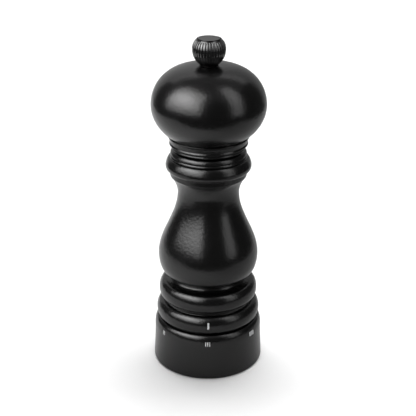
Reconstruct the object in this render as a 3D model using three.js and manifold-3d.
// A turned wooden pepper mill whose grind is set by a ring at its foot.
//
// The mill stands on the adjusting ring, with +Z up and the origin at the centre of the foot. All sizes
// are in millimetres. A head shaped like a bun turns a square shaft, which runs down through the pepper
// chamber to a toothed nut inside a toothed grinding ring. A spring pushes the nut down onto a bridge, and
// the bridge is threaded into the adjusting ring. Turning that ring lifts or lowers the nut, which is a
// cone, so the gap that grinds the pepper closes or opens. A ridged knob on the shaft's end holds the head
// down.

import * as THREE from 'three';
import { mergeVertices } from 'three/addons/utils/BufferGeometryUtils.js';
import Module from 'manifold-3d';

const wasm = await Module();
wasm.setup();

// ---------------------------------------------------------------- driving dimensions

// Clearances.
const fitGap = 0.3; // between pieces that are pressed, screwed or seated together
const runningGap = 0.4; // between pieces that turn or slide past each other

// Fineness.
const turnedSteps = 28; // facets round a turned piece
const smallSteps = 16; // facets round a small bore or pin
const screwSteps = 10; // facets round a screw and its hole
const columnsPerFineTooth = 3;
const columnsPerRidge = 2;
const threadSteps = 16; // facets in one turn of a thread

// Adjusting ring: a wooden foot with a slightly hollow side and a rounded shoulder.
const ringFootRadius = 29.75;
const ringFootRound = 1.0;
const ringWaistRadius = 29.05;
const ringWaistHeight = 20.5;
const ringEdgeRadius = 27.25;
const ringHeight = 25.0;
const ringLipHeight = 1.7; // the inner lip at the foot, under the thread ring
const ringLipWidth = 1.7;
const lowerSeam = 0.7; // open seam between the adjusting ring and the barrel

// Barrel mouldings, from the foot upwards: each one's radius, and its height above the one before.
const lowerBeadFootRadius = 25.8;
const lowerBeadRadius = 27.85;
const lowerBeadRise = 4.5;
const lowerBeadTopRadius = 23.8;
const lowerBeadFall = 5.3;
const grooveRadius = 23.5;
const grooveHeight = 1.4;
const upperBeadRadius = 26.45;
const upperBeadRise = 5.0;
const upperBeadTopRadius = 23.0;
const upperBeadFall = 5.4;
const coveRadius = 19.75;
const coveHeight = 2.2;
const bellyRadius = 26.65;
const bellyRise = 13.3;
const neckRadius = 16.2;
const neckRise = 35.0;
const filletRadius = 20.1; // the thin flat moulding that ends the neck
const filletRise = 9.7;
const filletHeight = 2.7;
const astragalRadius = 22.45; // the round moulding under the head
const astragalRise = 2.7;
const astragalTopRadius = 20.5;
const astragalFall = 5.1;
const rimFootRadius = 19.6;
const rimStep = 0.45;
const rimTopRadius = 15.4;
const rimRise = 3.1;
const rimLand = 0.4; // short upright above the rim, where the barrel ends
const upperSeam = 0.5; // open seam between the barrel and the head

// Head: a collar under a bun.
const collarFootRadius = 15.8;
const collarFootRise = 0.7;
const collarRadius = 20.6;
const collarRise = 2.1;
const collarSide = 2.1;
const bunFootRadius = 21.0;
const bunFootRise = 1.6;
const bunRadius = 29.6;
const bunRise = 16.7;
const bunFall = 20.5;
const bunTopRadius = 4.8; // flat land round the shaft's hole
const spigotLength = 6.0;
const headShoulderDepth = 12.0; // depth from the top to where the hole widens for the square shaft

// Knob: a ridged ball with a disc let into its top.
const knobFootRadius = 4.5;
const knobRadius = 8.35;
const knobRise = 7.9;
const knobRimRadius = 6.25;
const knobFall = 4.85;
const ridgeCount = 32;
const grooveDepth = 0.5;
const capRadius = 5.85;
const capThickness = 0.6;
const capRound = 0.3;
const capProud = 0.3; // how far the disc stands above the knob's rim
const capNeckRadius = 4.9;
const capNeckDepth = 1.0; // how deep the disc's neck is let into the knob, below the disc
const washerThickness = 0.5;
const insertNeckWall = 0.35;
const insertShoulder = 0.4;
const insertCover = 1.0; // how far the insert runs past the end of the shaft

// Shaft.
const shaftFlats = 5.6; // across the flats of the square
const shaftThreadRadius = 2.5;
const shaftTailRadius = 2.2;
const shaftTailLength = 8.0;
const threadReach = 6.0; // length of thread inside the knob
const clipGrooveRadius = 3.1;
const clipWidth = 2.3;
const clipThickness = 0.7;

// Pepper chamber and the bore under it.
const chamberRadius = 11.8;
const counterboreDepth = 18.3;
const mouthChamfer = 0.6;

// Grinder: spring, nut, grinding ring, guide and housing, stacked outwards from the shaft.
const springWire = 0.8;
const springTurns = 4;
const nutPocketDepth = 2.5;
const nutRimWall = 1.6;
const nutTaper = 1.2; // growth of the nut's radius over its coarse teeth
const nutFlare = 1.4; // growth over its fine teeth
const nutCoarseHeight = 4.0;
const nutFineHeight = 5.0;
const nutBaseHeight = 1.2;
const nutBaseChamfer = 1.0;
const nutDrop = 1.0; // how far the nut's widest edge hangs below the grinding ring
const coarseTeeth = 6;
const fineTeeth = 18;
const coarseToothDepth = 1.1;
const fineToothDepth = 0.6;
const toothTwist = 0.055; // radians of twist for each millimetre of height
const grindGap = 0.6; // between the crests at the setting shown
const grindingRingHeight = 8.4;
const grindingRingWall = 1.9;
const grindingRingMouthLip = 0.9; // width of the ring's edge at its mouth
const earThickness = 1.6;
const earWidth = 6.0;
const housingWall = 1.4;
const housingTopThickness = 4.0;
const feedWall = 1.1; // least wall between the feed hole and a screw's hole
const guideThickness = 1.6;
const guideHubWall = 2.1;
const guideHubHeight = 4.6;
const guideArmWidth = 3.2;

// Screws.
const screwHeadRadius = 1.8;
const screwHeadHeight = 1.4;
const screwRadius = 1.1;
const screwBite = 7.0; // length held by the wood
const plateScrewCircle = 7.2;

// Adjuster: the bridge, its thread and the click.
const threadLead = 3.0; // lift for one whole turn of the adjusting ring
const settingCount = 6;
const settingShown = 3; // counted from the finest
const settingAngle = THREE.MathUtils.degToRad(55); // turn of the ring from one setting to the next
const threadDepth = 1.2;
const bridgeRimWall = 1.5;
const bridgeRimHeight = 6.0;
const bridgeArmWidth = 4.4;
const bridgeArmHeight = 4.0;
const bridgeArmInset = 1.0; // from the rim's top down to the arms
const bridgeRimDepth = 4.0; // spare height between the housing's flange and the raised bridge
const bridgeHubRadius = 4.6;
const thrustWasherThickness = 0.7;
const threadRingWall = 1.8;
const threadRingLip = 4.3;
const flangeThickness = 1.8;
const sleeveReach = 1.5; // how far the housing's sleeve runs below the lowered bridge
const clickNotchRadius = 0.8;
const clickStripThickness = 0.4;
const clickStripHeight = 1.2;
const clickSpan = 0.5; // half the angle that the click spring spans, in radians
const drivePlateThickness = 1.3;
const drivePlateRadius = 9.6;

// ---------------------------------------------------------------- sizes that follow from them

// Radii, from the shaft outwards.
const shaftCorner = shaftFlats * Math.SQRT1_2;
const shaftBore = shaftCorner + runningGap;
const squareHole = shaftFlats + 2 * fitGap;
const springRadius = shaftBore + springWire / 2;
const nutPocketRadius = springRadius + springWire / 2 + runningGap;
const nutTopRadius = nutPocketRadius + nutRimWall;
const nutThroatRadius = nutTopRadius + nutTaper;
const nutFootRadius = nutThroatRadius + nutFlare;
const grindingRingRadius = nutFootRadius + grindGap + grindingRingWall;
const screwCircle = fitGap + Math.max(
  grindingRingRadius + screwHeadRadius, // clear of the grinding ring
  chamberRadius + feedWall + screwRadius, // clear of the hole that feeds it
);
const housingBore = screwCircle + screwHeadRadius + fitGap;
const housingRadius = housingBore + housingWall;
const bridgeBore = housingRadius + runningGap;
const bridgeRimRadius = bridgeBore + bridgeRimWall;
const threadRingBore = bridgeRimRadius + threadDepth + runningGap;
const threadRingRadius = threadRingBore + threadRingWall;
const ringBore = threadRingRadius + fitGap;
const flangeRadius = bridgeRimRadius;
const guideHubRadius = shaftBore + guideHubWall;
const knobBore = shaftThreadRadius + runningGap;
const insertNeckRadius = knobBore + insertNeckWall;
const insertRadius = insertNeckRadius + insertShoulder;

// Heights of the turned body.
const barrelFoot = ringHeight + lowerSeam;
const lowerBeadCrest = barrelFoot + lowerBeadRise;
const lowerBeadTop = lowerBeadCrest + lowerBeadFall;
const grooveTop = lowerBeadTop + grooveHeight;
const upperBeadCrest = grooveTop + upperBeadRise;
const upperBeadTop = upperBeadCrest + upperBeadFall;
const coveTop = upperBeadTop + coveHeight;
const bellyCrest = coveTop + bellyRise;
const neckWaist = bellyCrest + neckRise;
const filletFoot = neckWaist + filletRise;
const filletTop = filletFoot + filletHeight;
const astragalCrest = filletTop + astragalRise;
const astragalTop = astragalCrest + astragalFall;
const rimFoot = astragalTop + rimStep;
const rimTop = rimFoot + rimRise;
const barrelTop = rimTop + rimLand;
const headFoot = barrelTop + upperSeam;
const collarFoot = headFoot + collarFootRise;
const collarTop = collarFoot + collarRise;
const bunFoot = collarTop + collarSide + bunFootRise;
const bunCrest = bunFoot + bunRise;
const headTop = bunCrest + bunFall;
const spigotFoot = headFoot - spigotLength;
const washerFoot = headTop + 0.5 * fitGap;
const knobFoot = washerFoot + washerThickness + 0.5 * fitGap;

// Heights inside the barrel, from the counterbore's shoulder downwards.
const shoulder = barrelFoot + counterboreDepth;
const guideFoot = shoulder - fitGap - guideThickness;
const housingTop = guideFoot - fitGap;
const housingTopFoot = housingTop - housingTopThickness;
const earTop = housingTopFoot - fitGap;
const earFoot = earTop - earThickness;
const screwTop = earFoot - fitGap;
const grindingRingFoot = earTop - grindingRingHeight;
const clipFoot = guideFoot - fitGap - clipThickness;
const nutWidest = grindingRingFoot - nutDrop;
const nutFoot = nutWidest - nutBaseHeight;
const nutThroat = nutWidest + nutFineHeight;
const nutTop = nutThroat + nutCoarseHeight;
const pocketFloor = nutTop - nutPocketDepth;
const thrustWasherFoot = nutFoot - fitGap - thrustWasherThickness;
const bridgeTop = thrustWasherFoot - fitGap;

// Travel of the bridge and the nut, from the setting shown to the finest and to the coarsest.
const settingLift = (threadLead * settingAngle) / (2 * Math.PI);
const travelUp = (settingShown - 1) * settingLift;
const travelDown = (settingCount - settingShown) * settingLift;

// Heights of the adjuster, from the barrel's foot downwards.
const threadRingTop = barrelFoot - fitGap;
const threadRingLipFoot = threadRingTop - threadRingLip;
const threadRingFoot = ringLipHeight + fitGap;
const flangeTop = threadRingLipFoot - fitGap;
const flangeFoot = flangeTop - flangeThickness;
const bridgeRimTop = flangeFoot - travelUp - bridgeRimDepth;
const bridgeRimFoot = bridgeRimTop - bridgeRimHeight;
const bridgeArmTop = bridgeRimTop - bridgeArmInset;
const bridgeArmFoot = bridgeArmTop - bridgeArmHeight;
const sleeveFoot = bridgeRimFoot - travelDown - sleeveReach;
const slotTop = bridgeArmTop + travelUp + 2 * runningGap;

// Heights inside the knob's top, from the knob's foot.
const capTop = knobRise + knobFall + capProud;
const capDiscFoot = capTop - capThickness;
const capSeat = capDiscFoot - fitGap;
const capNeckFoot = capSeat - capNeckDepth;

// Heights of the shaft.
const squareFoot = thrustWasherFoot + thrustWasherThickness + travelUp + runningGap + fitGap;
const squareTop = headTop - headShoulderDepth - 1.0;
const shaftTop = knobFoot + threadReach;

// The grinder's three arms and its three screws take turns round the axis.
const armAngles = [90, 210, 330].map(THREE.MathUtils.degToRad);
const screwAngles = [30, 150, 270].map(THREE.MathUtils.degToRad);

// ---------------------------------------------------------------- materials

function material(color, roughness, metalness) {
  return new THREE.MeshStandardMaterial({ color, roughness, metalness });
}

const blackLacquer = material(0x161616, 0.38, 0.0);
const knobMetal = material(0x1b1b1b, 0.3, 0.6);
const blackPlastic = material(0x202022, 0.55, 0.0);
const greyPlastic = material(0x5a5c60, 0.5, 0.0);
const hardSteel = material(0x8a8d92, 0.35, 0.9);
const brightSteel = material(0xc4c7cb, 0.25, 0.95);
const aluminium = material(0xb9bcc0, 0.35, 0.9);
const brass = material(0xb08d46, 0.3, 0.9);

// ---------------------------------------------------------------- building blocks

// An outline in the half-plane of radius and height. A closed outline runs so that its outer side goes up.
class Outline {
  constructor(radius, height) {
    this.points = [new THREE.Vector2(radius, height)];
  }

  to(radius, height) {
    this.points.push(new THREE.Vector2(radius, height));
    return this;
  }

  // A Bezier bow. leave and arrive say how far its two handles reach, as shares of its width and height.
  bow(radius, height, leave, arrive, steps) {
    const start = this.points.at(-1);
    const end = new THREE.Vector2(radius, height);
    const span = end.clone().sub(start);
    const first = start.clone().add(new THREE.Vector2(...leave).multiply(span));
    const second = end.clone().sub(new THREE.Vector2(...arrive).multiply(span));
    const curve = new THREE.CubicBezierCurve(start, first, second, end);
    this.points.push(...curve.getPoints(steps).slice(1));
    return this;
  }

  close() {
    this.points.push(this.points[0].clone());
    return this;
  }
}

// Turns an outline about the Z axis.
function turned(outline, steps = turnedSteps) {
  return new THREE.LatheGeometry(outline.points, steps).rotateX(Math.PI / 2);
}

// A tube, or with no bore a plain cylinder, standing on foot.
function tube(radius, bore, foot, top, steps = turnedSteps) {
  if (!bore) return new THREE.CylinderGeometry(radius, radius, top - foot, steps).rotateX(Math.PI / 2)
    .translate(0, 0, (foot + top) / 2);
  return turned(new Outline(bore, foot).to(radius, foot).to(radius, top).to(bore, top).close(), steps);
}

// A box that runs outwards from the axis, between two radii, at an angle round it.
function spoke(width, from, to, foot, top, angle) {
  return new THREE.BoxGeometry(to - from, width, top - foot)
    .translate((from + to) / 2, 0, (foot + top) / 2)
    .rotateZ(angle);
}

// A small pin or hole parallel to the axis, centred on a circle round it.
function pin(radius, circle, angle, foot, top, steps = smallSteps) {
  return tube(radius, 0, foot, top, steps)
    .translate(circle * Math.cos(angle), circle * Math.sin(angle), 0);
}

// A closed geometry as a solid, for joining and cutting.
function solid(geometry) {
  const bare = geometry.clone();
  bare.deleteAttribute('normal');
  bare.deleteAttribute('uv');
  const merged = mergeVertices(bare, 1e-4);
  return new wasm.Manifold(new wasm.Mesh({
    numProp: 3,
    vertProperties: merged.attributes.position.array,
    triVerts: new Uint32Array(merged.index.array),
  }));
}

function geometryOf(body) {
  const mesh = body.getMesh();
  const geometry = new THREE.BufferGeometry();
  geometry.setAttribute('position', new THREE.BufferAttribute(new Float32Array(mesh.vertProperties), 3));
  geometry.setIndex(new THREE.BufferAttribute(new Uint32Array(mesh.triVerts), 1));
  geometry.computeVertexNormals();
  return geometry;
}

function joined(...geometries) {
  return geometryOf(geometries.map(solid).reduce((whole, piece) => whole.add(piece)));
}

function cut(geometry, ...tools) {
  return geometryOf(tools.map(solid).reduce((whole, tool) => whole.subtract(tool), solid(geometry)));
}

function named(name, geometry, look, height = 0) {
  const mesh = new THREE.Mesh(geometry, look);
  mesh.name = name;
  mesh.position.z = height;
  return mesh;
}

// A solid about the Z axis whose rows are toothed. Each row gives its height, its crest radius and how
// deep its teeth are: inwards if depth is positive, outwards if it is negative. profile gives the depth
// round one tooth, from 0 to 1, and twist turns each row in step with its height.
function toothed(rows, columns, twist) {
  const vertices = [];
  for (const { height, radius, depth, teeth, profile } of rows) {
    for (let column = 0; column < columns; column += 1) {
      const phase = ((column * teeth) / columns) % 1;
      const angle = (2 * Math.PI * column) / columns + twist * height;
      const reach = radius - depth * profile(phase);
      vertices.push(reach * Math.cos(angle), reach * Math.sin(angle), height);
    }
  }
  const first = rows[0].height;
  const last = rows.at(-1).height;
  vertices.push(0, 0, first, 0, 0, last);
  const footCentre = rows.length * columns;
  const indices = [];
  for (let column = 0; column < columns; column += 1) {
    const next = (column + 1) % columns;
    for (let row = 0; row < rows.length - 1; row += 1) {
      const a = row * columns + column;
      const b = row * columns + next;
      indices.push(a, b, b + columns, a, b + columns, a + columns);
    }
    const top = (rows.length - 1) * columns;
    indices.push(footCentre, next, column, footCentre + 1, top + column, top + next);
  }
  const geometry = new THREE.BufferGeometry();
  geometry.setAttribute('position', new THREE.Float32BufferAttribute(vertices, 3));
  geometry.setIndex(indices);
  return geometry;
}

// Round one cutting tooth: a steep face, then a long back that rises to the crest again.
const sawTooth = (phase) => (phase < 1 / 3 ? 3 * phase : 1.5 * (1 - phase));
// Round one ridge of the knob: a rounded crest between two narrow grooves.
const ridgeBack = (phase) => 1 - Math.sin(Math.PI * phase);

// One ridge of a left-hand thread, wound down from top to foot. root and crest are its two radii: a crest
// inside its root makes an internal thread. offset slides it along the axis.
function threadRidge(root, crest, foot, top, offset) {
  const rootHalf = 0.2 * threadLead;
  const crestHalf = 0.12 * threadLead;
  const steps = Math.floor(((top - foot) / threadLead) * threadSteps);
  const start = Math.ceil(((offset - top) / threadLead) * threadSteps);
  const corners = [[root, -rootHalf], [crest, -crestHalf], [crest, crestHalf], [root, rootHalf]];
  if (crest < root) corners.reverse();
  const vertices = [];
  for (let step = 0; step <= steps; step += 1) {
    const turn = (start + step) / threadSteps;
    const angle = 2 * Math.PI * turn;
    for (const [radius, rise] of corners) {
      vertices.push(radius * Math.cos(angle), radius * Math.sin(angle), offset - threadLead * turn + rise);
    }
  }
  const indices = [0, 1, 2, 0, 2, 3];
  for (let step = 0; step < steps; step += 1) {
    for (let side = 0; side < 4; side += 1) {
      const a = step * 4 + side;
      const b = step * 4 + ((side + 1) % 4);
      indices.push(a, b + 4, b, a, a + 4, b + 4);
    }
  }
  const end = steps * 4;
  indices.push(end, end + 2, end + 1, end, end + 3, end + 2);
  const geometry = new THREE.BufferGeometry();
  geometry.setAttribute('position', new THREE.Float32BufferAttribute(vertices, 3));
  geometry.setIndex(indices);
  return geometry;
}

// A screw that points up: a domed head under a plain shank of some length.
function screw(length) {
  const outline = new Outline(0, -screwHeadHeight)
    .to(0.6 * screwHeadRadius, -screwHeadHeight)
    .bow(screwHeadRadius, -0.4 * screwHeadHeight, [0.6, 0], [0, 0.6], 2)
    .to(screwHeadRadius, 0)
    .to(screwRadius, 0)
    .to(screwRadius, length - screwRadius)
    .to(0, length);
  return turned(outline, screwSteps);
}

// The three holes for the grinder's screws, cut through a layer between two heights.
function screwHoles(foot, top) {
  return screwAngles.map((angle) => pin(screwRadius + fitGap, screwCircle, angle,
    foot - 1, top + 1, screwSteps));
}

// A flat shape with a thickness.
function plate(shape, depth, curveSegments) {
  return new THREE.ExtrudeGeometry(shape, { depth, bevelEnabled: false, curveSegments });
}

// How the bows of the mouldings leave and arrive, as shares of their width and height.
const cornerFull = [[0.85, 0.15], [0, 0.45]];
const quarterRound = [[0, 0.55], [0.55, 0]];

// ---------------------------------------------------------------- adjusting ring and its thread ring

function adjustingRing() {
  const lipRadius = ringBore - ringLipWidth;
  const outline = new Outline(lipRadius, 0)
    .to(ringFootRadius - ringFootRound, 0)
    .bow(ringFootRadius, ringFootRound, [0.55, 0], [0, 0.55], 2)
    .bow(ringWaistRadius, ringWaistHeight, [0.33, 0.33], [0, 0.5], 4)
    .bow(ringEdgeRadius, ringHeight, ...quarterRound, 4)
    .to(ringBore, ringHeight)
    .to(ringBore, ringLipHeight)
    .to(lipRadius, ringLipHeight)
    .close();
  return named('adjusting_ring', turned(outline), blackLacquer);
}

// Pressed into the wooden ring: its lip is held under the barrel by the housing's flange, its bore is
// threaded for the bridge, and a row of notches above the thread makes the clicks.
function threadRing() {
  const height = threadRingTop - threadRingFoot;
  const lipFoot = threadRingLipFoot - threadRingFoot;
  const body = turned(new Outline(threadRingBore, 0)
    .to(threadRingRadius, 0)
    .to(threadRingRadius, height)
    .to(bridgeBore, height)
    .to(bridgeBore, lipFoot)
    .to(threadRingBore, lipFoot)
    .close());
  const ridgeFoot = bridgeRimFoot - travelDown - threadRingFoot;
  const ridgeTop = bridgeRimTop + travelUp - threadRingFoot;
  const offset = bridgeRimFoot - threadRingFoot + threadLead / 2;
  const ridge = threadRidge(threadRingBore + threadRingWall / 3, bridgeRimRadius + runningGap,
    ridgeFoot, ridgeTop, offset);
  const notches = Array.from({ length: settingCount }, (_, index) => pin(clickNotchRadius, threadRingBore,
    (index + 1 - settingShown) * settingAngle, flangeFoot - threadRingFoot, lipFoot - 0.01, 8));
  return named('thread_ring', cut(joined(body, ridge), ...notches), blackPlastic, threadRingFoot);
}

// ---------------------------------------------------------------- barrel

function barrel() {
  const bore = housingRadius + fitGap;
  const up = (height) => height - barrelFoot;
  const outline = new Outline(bore, 0)
    .to(lowerBeadFootRadius, 0)
    .bow(lowerBeadRadius, up(lowerBeadCrest), ...cornerFull, 3)
    .bow(lowerBeadTopRadius, up(lowerBeadTop), ...quarterRound, 4)
    .to(grooveRadius, up(grooveTop))
    .bow(upperBeadRadius, up(upperBeadCrest), ...cornerFull, 3)
    .bow(upperBeadTopRadius, up(upperBeadTop), ...quarterRound, 4)
    .bow(coveRadius, up(coveTop), [0.5, 0.1], [0.05, 0.5], 2)
    .bow(bellyRadius, up(bellyCrest), [0.18, 0.06], [0, 0.83], 6)
    .bow(neckRadius, up(neckWaist), [0, 0.32], [0, 0.38], 6)
    .bow(filletRadius, up(filletFoot), [0, 0.46], [0.2, 0.04], 4)
    .to(filletRadius, up(filletTop))
    .bow(astragalRadius, up(astragalCrest), [0.8, 0.25], [0, 0.45], 2)
    .bow(astragalTopRadius, up(astragalTop), ...quarterRound, 3)
    .to(rimFootRadius, up(rimFoot))
    .bow(rimTopRadius, up(rimTop), [0, 0.29], [0.22, 0], 3)
    .to(rimTopRadius, up(barrelTop))
    .to(chamberRadius + mouthChamfer, up(barrelTop))
    .to(chamberRadius, up(barrelTop - mouthChamfer))
    .to(chamberRadius, up(shoulder))
    .to(bore, up(shoulder))
    .close();
  const pilots = screwHoles(up(shoulder), up(shoulder) + screwBite - 1);
  return named('barrel', cut(turned(outline), ...pilots), blackLacquer, barrelFoot);
}

// ---------------------------------------------------------------- grinder, held in the barrel

// A plastic sleeve: its top is clamped in the barrel, its flange holds the adjusting ring up against the
// barrel, and its slots let the bridge's arms slide but not turn.
function grinderHousing() {
  const up = (height) => height - sleeveFoot;
  const outline = new Outline(housingBore, 0)
    .to(housingRadius, 0)
    .to(housingRadius, up(flangeFoot))
    .to(flangeRadius, up(flangeFoot))
    .to(flangeRadius, up(flangeTop))
    .to(housingRadius, up(flangeTop))
    .to(housingRadius, up(housingTop))
    .to(chamberRadius, up(housingTop))
    .to(chamberRadius, up(housingTopFoot))
    .to(housingBore, up(housingTopFoot))
    .close();
  const slotWidth = bridgeArmWidth + 2 * runningGap;
  const slots = armAngles.map((angle) => spoke(slotWidth, housingBore - 1, housingRadius + 1,
    -1, up(slotTop), angle));
  const hookWidth = 2 * (clickStripThickness + fitGap);
  const hookSlots = [-clickSpan, clickSpan].map((angle) => spoke(hookWidth, housingRadius + fitGap,
    flangeRadius + 1, up(flangeFoot) - 1, up(flangeTop) + 1, angle));
  const holes = screwHoles(up(housingTopFoot), up(housingTop));
  const body = cut(turned(outline), ...slots, ...holes, ...hookSlots);
  return named('grinder_housing', body, blackPlastic, sleeveFoot);
}

// A steel ring whose inside is toothed: coarse teeth at the mouth crack the corns, and fine teeth below
// grind them. Three ears take the screws that hold the grinder in the barrel.
function grindingRing() {
  const up = (height) => height - grindingRingFoot;
  const columns = columnsPerFineTooth * fineTeeth;
  const footRadius = nutFootRadius - (nutFlare * nutDrop) / nutFineHeight + grindGap;
  const throatRadius = nutThroatRadius + grindGap;
  const mouthRadius = grindingRingRadius - grindingRingMouthLip;
  const fine = { depth: -fineToothDepth, teeth: fineTeeth, profile: sawTooth };
  const coarse = { depth: -coarseToothDepth, teeth: coarseTeeth, profile: sawTooth };
  const mouth = { radius: mouthRadius, depth: 0, teeth: coarseTeeth, profile: sawTooth };
  const middle = (up(nutThroat) + grindingRingHeight) / 2;
  const hollow = toothed([
    { height: -1, radius: footRadius + nutFlare / nutFineHeight, ...fine },
    { height: up(nutThroat) - 0.4, radius: throatRadius, ...fine },
    { height: up(nutThroat), radius: throatRadius, ...coarse },
    { height: middle, radius: (throatRadius + mouthRadius) / 2, ...coarse },
    { height: grindingRingHeight - 0.6, ...mouth },
    { height: grindingRingHeight + 1, ...mouth },
  ], columns, toothTwist);
  const body = tube(grindingRingRadius, 0, 0, grindingRingHeight);
  const ears = screwAngles.map((angle) => spoke(earWidth, grindingRingRadius - 2, housingBore - 2 * fitGap,
    up(earFoot), up(earTop), angle));
  const toothedRing = cut(joined(body, ...ears), hollow, ...screwHoles(up(earFoot), up(earTop)));
  return named('grinding_ring', toothedRing, hardSteel, grindingRingFoot);
}

// A steel plate with three arms, clamped over the grinder: its hub steadies the shaft, and the corns fall
// between its arms.
function shaftGuide() {
  const rim = tube(housingRadius, chamberRadius, 0, guideThickness);
  const arms = armAngles.map((angle) => spoke(guideArmWidth, shaftBore + 1, chamberRadius + 1,
    0, guideThickness, angle));
  const hub = tube(guideHubRadius, 0, 0, guideHubHeight, smallSteps);
  const bore = tube(shaftBore, 0, -1, guideHubHeight + 1, smallSteps);
  const guide = cut(joined(rim, hub, ...arms), bore, ...screwHoles(0, guideThickness));
  return named('shaft_guide', guide, brightSteel, guideFoot);
}

function grinderScrews() {
  const length = shoulder + screwBite - fitGap - screwTop;
  return screwAngles.map((angle, index) => {
    const mesh = named(`grinder_screw_${index + 1}`, screw(length), brightSteel, screwTop);
    mesh.position.x = screwCircle * Math.cos(angle);
    mesh.position.y = screwCircle * Math.sin(angle);
    return mesh;
  });
}

// A bent steel strip hooked on the housing's flange. Its nose drops into a notch of the thread ring at
// each setting.
function clickSpring() {
  const inner = flangeRadius + fitGap;
  const outer = inner + clickStripThickness;
  const nose = threadRingBore + 0.35 * clickNotchRadius;
  const noseAngle = (1.1 * clickNotchRadius) / outer;
  const hook = housingRadius + 2 * fitGap;
  const hookAngle = clickStripThickness / outer;
  const strip = new THREE.Shape();
  strip.absarc(0, 0, outer, -clickSpan, -noseAngle, false);
  strip.lineTo(nose, 0);
  strip.absarc(0, 0, outer, noseAngle, clickSpan, false);
  strip.lineTo(hook * Math.cos(clickSpan), hook * Math.sin(clickSpan));
  strip.lineTo(hook * Math.cos(clickSpan - hookAngle), hook * Math.sin(clickSpan - hookAngle));
  strip.absarc(0, 0, inner, clickSpan - hookAngle, noseAngle, true);
  strip.lineTo(nose - 1.4 * clickStripThickness, 0);
  strip.absarc(0, 0, inner, -noseAngle, -clickSpan + hookAngle, true);
  strip.lineTo(hook * Math.cos(-clickSpan + hookAngle), hook * Math.sin(-clickSpan + hookAngle));
  strip.lineTo(hook * Math.cos(-clickSpan), hook * Math.sin(-clickSpan));
  const geometry = plate(strip, clickStripHeight, 6);
  return named('click_spring', geometry, brightSteel, (flangeFoot + flangeTop - clickStripHeight) / 2);
}

// ---------------------------------------------------------------- bridge, lifted by the adjusting ring

function liftBridge() {
  const up = (height) => height - bridgeRimFoot;
  const tailBore = shaftTailRadius + runningGap;
  const rim = tube(bridgeRimRadius, bridgeBore, 0, bridgeRimHeight);
  const arms = armAngles.map((angle) => spoke(bridgeArmWidth, tailBore + fitGap,
    bridgeBore + bridgeRimWall / 2, up(bridgeArmFoot), up(bridgeArmTop), angle));
  const hub = tube(bridgeHubRadius, 0, up(bridgeArmFoot), up(bridgeTop), smallSteps);
  const boreFloor = squareFoot - shaftTailLength - travelUp - 1;
  const bore = tube(tailBore, 0, up(boreFloor), up(bridgeTop) + 1, smallSteps);
  const margin = 0.25 * threadLead;
  const ridge = threadRidge(bridgeRimRadius - bridgeRimWall / 3, bridgeRimRadius + threadDepth,
    margin, bridgeRimHeight - margin, 0);
  return named('lift_bridge', cut(joined(rim, ridge, hub, ...arms), bore), greyPlastic, bridgeRimFoot);
}

function thrustWasher() {
  const bore = shaftTailRadius + runningGap;
  const geometry = tube(bridgeHubRadius, bore, 0, thrustWasherThickness, smallSteps);
  return named('thrust_washer', geometry, brightSteel, thrustWasherFoot);
}

// ---------------------------------------------------------------- nut and shaft

// The nut is a cone of hardened steel, toothed like the ring around it and broached for the square shaft.
function grindingNut() {
  const up = (height) => height - nutFoot;
  const fine = { depth: fineToothDepth, teeth: fineTeeth, profile: sawTooth };
  const coarse = { depth: coarseToothDepth, teeth: coarseTeeth, profile: sawTooth };
  const pocketRadius = nutTopRadius + (nutTaper * nutPocketDepth) / nutCoarseHeight;
  const cone = toothed([
    { ...fine, height: 0, radius: nutFootRadius - nutBaseChamfer, depth: 0 },
    { height: nutBaseHeight, radius: nutFootRadius, ...fine },
    { height: up(nutThroat) - 0.4, radius: nutThroatRadius, ...fine },
    { height: up(nutThroat), radius: nutThroatRadius, ...coarse },
    { height: up(pocketFloor), radius: pocketRadius, ...coarse },
    { ...coarse, height: up(nutTop), radius: nutTopRadius, depth: 0.35 * coarseToothDepth },
  ], columnsPerFineTooth * fineTeeth, -toothTwist);
  const pocket = tube(nutPocketRadius, 0, up(pocketFloor), up(nutTop) + 1, smallSteps);
  const square = new THREE.BoxGeometry(squareHole, squareHole, 4 * nutFineHeight);
  return named('grinding_nut', cut(cone, pocket, square), hardSteel, nutFoot);
}

// Square through the chamber, with a round tail that turns in the bridge and a threaded end for the knob.
function shaft() {
  const squareLength = squareTop - squareFoot;
  const square = new THREE.BoxGeometry(shaftFlats, shaftFlats, squareLength)
    .translate(0, 0, squareLength / 2);
  const chamfer = turned(new Outline(0, -1)
    .to(shaftFlats / 2, -1)
    .to(shaftCorner + 1, shaftCorner - shaftFlats / 2)
    .to(shaftCorner + 1, squareLength - shaftCorner + shaftFlats / 2)
    .to(shaftFlats / 2, squareLength + 1)
    .to(0, squareLength + 1));
  const tail = tube(shaftTailRadius, 0, -shaftTailLength, 1, smallSteps);
  const thread = turned(new Outline(0, squareLength - 1)
    .to(shaftThreadRadius, squareLength - 1)
    .to(shaftThreadRadius, shaftTop - squareFoot - 0.5)
    .to(shaftThreadRadius - 0.5, shaftTop - squareFoot)
    .to(0, shaftTop - squareFoot), smallSteps);
  const grooveFoot = clipFoot - squareFoot - fitGap / 2;
  const grooveTop = grooveFoot + clipThickness + fitGap;
  const groove = tube(shaftCorner + 1, clipGrooveRadius, grooveFoot, grooveTop, smallSteps);
  const squared = geometryOf(solid(square).intersect(solid(chamfer)));
  return named('shaft', cut(joined(squared, tail, thread), groove), aluminium, squareFoot);
}

// A spring clip in the shaft's groove. It stops the shaft under the guide when the knob pulls on it.
function retainingClip() {
  const inner = clipGrooveRadius + fitGap;
  const outer = inner + clipWidth;
  const opening = 0.45;
  const ring = new THREE.Shape();
  ring.absarc(0, 0, outer, opening, 2 * Math.PI - opening, false);
  ring.absarc(0, 0, inner, 2 * Math.PI - opening, opening, true);
  return named('retaining_clip', plate(ring, clipThickness, 10), brightSteel, clipFoot);
}

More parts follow.
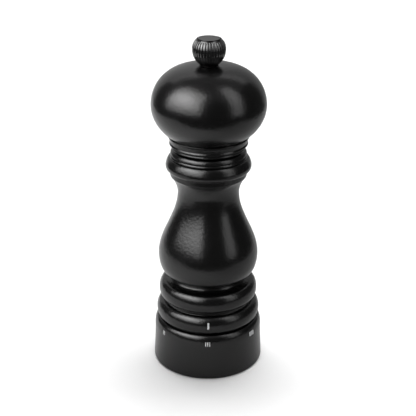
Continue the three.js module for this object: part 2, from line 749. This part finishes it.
class Coil extends THREE.Curve {
  constructor(radius, height, turns) {
    super();
    Object.assign(this, { radius, height, turns });
  }

  getPoint(share, target = new THREE.Vector3()) {
    const angle = 2 * Math.PI * this.turns * share;
    return target.set(this.radius * Math.cos(angle), this.radius * Math.sin(angle), this.height * share);
  }
}

function grindSpring() {
  const foot = pocketFloor + fitGap + springWire / 2;
  const top = clipFoot - fitGap - springWire / 2;
  const wire = new THREE.Shape().absarc(0, 0, springWire / 2, 0, 2 * Math.PI, false);
  const path = new Coil(springRadius, top - foot, springTurns);
  const geometry = new THREE.ExtrudeGeometry(wire, {
    steps: 10 * springTurns,
    curveSegments: 3,
    extrudePath: path,
    bevelEnabled: false,
  });
  return named('grind_spring', geometry, brightSteel, foot);
}

// ---------------------------------------------------------------- head

function head() {
  const up = (height) => height - headFoot;
  const recessRadius = drivePlateRadius + fitGap;
  const recessTop = up(spigotFoot) + drivePlateThickness + fitGap;
  const holeShoulder = up(headTop - headShoulderDepth);
  const outline = new Outline(recessRadius, up(spigotFoot))
    .to(chamberRadius - runningGap, up(spigotFoot))
    .to(chamberRadius - runningGap, 0)
    .to(rimTopRadius, 0)
    .to(collarFootRadius, up(collarFoot))
    .bow(collarRadius, up(collarTop), [0.3, 0.05], [0, 0.49], 3)
    .to(collarRadius, up(collarTop) + collarSide)
    .to(bunFootRadius, up(bunFoot))
    .bow(bunRadius, up(bunCrest), [0.15, 0.03], [0, 0.59], 6)
    .bow(bunTopRadius, up(headTop), [0, 0.4], [0.78, 0], 8)
    .to(knobBore, up(headTop))
    .to(knobBore, holeShoulder)
    .to(shaftBore, holeShoulder)
    .to(shaftBore, recessTop)
    .to(recessRadius, recessTop)
    .close();
  const pilots = [0, Math.PI].map((angle) => pin(screwRadius + fitGap, plateScrewCircle, angle,
    recessTop - 0.5, recessTop + screwBite, screwSteps));
  return named('head', cut(turned(outline), ...pilots), blackLacquer);
}

// A steel plate let into the head's spigot. Its square hole turns the shaft.
function drivePlate() {
  const disc = tube(drivePlateRadius, 0, 0, drivePlateThickness);
  const square = new THREE.BoxGeometry(squareHole, squareHole, 4 * drivePlateThickness);
  const holes = [0, Math.PI].map((angle) => pin(screwRadius + fitGap, plateScrewCircle, angle,
    -1, drivePlateThickness + 1, screwSteps));
  return named('drive_plate', cut(disc, square, ...holes), brightSteel, spigotFoot - headFoot);
}

function drivePlateScrews() {
  const length = drivePlateThickness + fitGap + screwBite;
  return [1, -1].map((side, index) => {
    const foot = spigotFoot - headFoot - fitGap;
    const mesh = named(`drive_plate_screw_${index + 1}`, screw(length), brightSteel, foot);
    mesh.position.x = side * plateScrewCircle;
    return mesh;
  });
}

// ---------------------------------------------------------------- knob

function knobWasher() {
  const ring = tube(knobFootRadius - fitGap, insertNeckRadius + fitGap, 0, washerThickness, smallSteps);
  return named('knob_washer', ring, blackPlastic, washerFoot - headTop);
}

function knob() {
  const rim = knobRise + knobFall;
  const outline = new Outline(knobFootRadius, 0)
    .bow(knobRadius, knobRise, [0, 0.11], [0, 0.74], 4)
    .bow(knobRimRadius, rim, [0, 0.62], [0.22, 0.14], 4);
  const rows = outline.points.map(({ x, y }, index, all) => ({
    height: y,
    radius: x,
    depth: index < all.length - 1 ? grooveDepth * (x / knobRadius) ** 2 : 0,
    teeth: ridgeCount,
    profile: ridgeBack,
  }));
  const ball = toothed(rows, columnsPerRidge * ridgeCount, 0);
  const bore = tube(insertRadius + fitGap, 0, -1, rim, smallSteps);
  const neckHole = tube(capNeckRadius + fitGap, 0, capNeckFoot - fitGap, rim, smallSteps);
  const recess = tube(capRadius + fitGap, 0, capSeat, rim + 1, smallSteps);
  return named('knob', cut(ball, bore, neckHole, recess), knobMetal);
}

// The threaded brass core of the knob. The washer hangs on its foot, so it comes off with the knob.
function knobInsert() {
  const length = threadReach + insertCover;
  const outline = new Outline(knobBore, -washerThickness)
    .to(insertNeckRadius, -washerThickness)
    .to(insertNeckRadius, fitGap)
    .to(insertRadius, fitGap)
    .to(insertRadius, length)
    .to(knobBore, length)
    .close();
  return named('knob_insert', turned(outline, smallSteps), brass);
}

// A disc on a neck, pressed into the knob's top.
function knobCap() {
  const up = (height) => height - capNeckFoot;
  const outline = new Outline(0, 0)
    .to(capNeckRadius, 0)
    .to(capNeckRadius, up(capDiscFoot))
    .to(capRadius, up(capDiscFoot))
    .to(capRadius, up(capTop) - capRound)
    .bow(capRadius - capRound, up(capTop), ...quarterRound, 1)
    .to(0, up(capTop));
  return named('knob_cap', turned(outline, turnedSteps), knobMetal, capNeckFoot);
}

// ---------------------------------------------------------------- assembly

function group(name, height, ...members) {
  const made = new THREE.Group();
  made.name = name;
  made.position.z = height;
  made.add(...members);
  return made;
}

const knobGroup = group('knob_assembly', knobFoot - headTop, knob(), knobInsert(), knobCap());
const knobOnHead = group('knob_and_washer', headTop - headFoot, knobWasher(), knobGroup);
const pepperMill = group('pepper_mill', 0,
  group('adjuster', 0, adjustingRing(), threadRing()),
  group('body', 0, barrel(), grinderHousing(), grindingRing(), shaftGuide(), clickSpring(),
    ...grinderScrews()),
  group('lifter', 0, liftBridge(), thrustWasher()),
  group('spindle', 0, shaft(), retainingClip(), grindSpring(), grindingNut()),
  group('head_assembly', headFoot, head(), drivePlate(), ...drivePlateScrews(), knobOnHead));

export default pepperMill;
